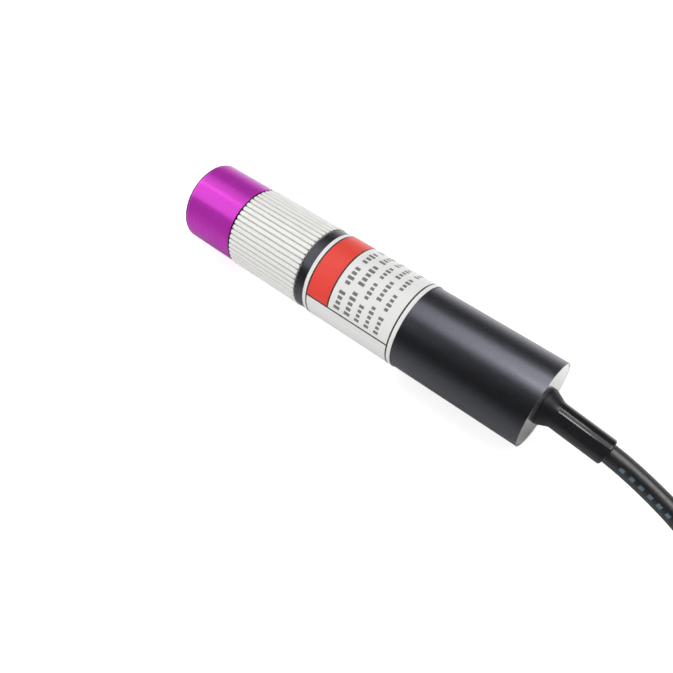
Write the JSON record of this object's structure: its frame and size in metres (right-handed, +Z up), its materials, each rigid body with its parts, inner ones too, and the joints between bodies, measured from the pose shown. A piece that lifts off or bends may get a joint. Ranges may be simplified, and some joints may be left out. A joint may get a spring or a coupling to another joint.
{
  "type": "laser diode module",
  "caption": "Slim round laser module with a knurled focus ring, a line lens in its nose, a driver board inside, and a supply cord with strain relief and coaxial plug.",
  "frame": {"origin": "on the floor under the middle of the module's length, between its front face and its rear face, cord left out", "axes": "+Z up, the module lies along X with its beam towards -X and its cord towards +X"},
  "size_m": [0.2032, 0.0324, 0.0163],
  "materials": {
    "violet_anodised": "violet anodised, satin",
    "optical_glass": "polished optical glass",
    "black_anodised": "black anodised, satin",
    "bright_aluminium": "bright machined knurl",
    "turned_brass": "turned",
    "spring_steel": "drawn wire",
    "label_film": "printed film",
    "gold_plate": "gold plated",
    "board_laminate": "green solder mask",
    "black_epoxy": "moulded epoxy",
    "trimmer_body": "moulded",
    "ferrite": "pressed ferrite",
    "capacitor_body": "moulded",
    "red_insulation": "wire insulation",
    "black_insulation": "wire insulation",
    "bare_aluminium": "faced, bare",
    "black_sleeve": "glossy moulded sleeve",
    "cord_jacket": "flexible jacket",
    "tie_plastic": "flat tie",
    "plug_moulding": "moulded grip",
    "nickel_plate": "nickel plated",
    "plug_insulation": "moulded"
  },
  "bodies": {
    "body": {"focus_spring": "spring_steel", "barrel": "black_anodised", "label": "label_film", "diode_mount": "turned_brass", "laser_diode": "gold_plate", "diode_window": "optical_glass", "diode_leads": "gold_plate", "driver_board": "board_laminate", "driver_chip": "black_epoxy", "current_trimmer": "trimmer_body", "choke": "ferrite", "capacitor": "capacitor_body", "chip_resistors": "black_epoxy", "rectifier": "black_epoxy", "positive_core": "red_insulation", "negative_core": "black_insulation", "rear_cap": "bare_aluminium", "strain_relief": "black_sleeve", "cord_lead": "cord_jacket", "cord_hank": "cord_jacket", "cord_tail": "cord_jacket", "hank_ties": "tie_plastic", "plug_body": "plug_moulding", "plug_barrel": "nickel_plate", "plug_insulator": "plug_insulation", "plug_contact": "nickel_plate"},
    "focus_slider": {"thrust_washer": "turned_brass"},
    "focus_head": {"nose_cap": "violet_anodised", "line_lens": "optical_glass", "line_lens_retainer": "black_anodised", "focus_ring": "bright_aluminium", "lens_cell": "turned_brass", "collimating_lens": "optical_glass", "collimator_lock_ring": "turned_brass"}
  },
  "joints": [
    {"name": "focus_travel", "type": "slide", "parent": "body", "child": "focus_slider", "axis": [-1, 0, 0], "range_m": [-0.00026, 0.00176], "deforming": ["focus_spring"]},
    {"name": "focus_turn", "type": "hinge", "parent": "focus_slider", "child": "focus_head", "pos_m": [0, 0, 0.00815], "axis": [-1, 0, 0], "range_deg": [-180, 1260]}
  ],
  "couplings": [
    {"joint": "focus_travel", "follows": "focus_turn", "m_per_rad": 0.000079577}
  ]
}
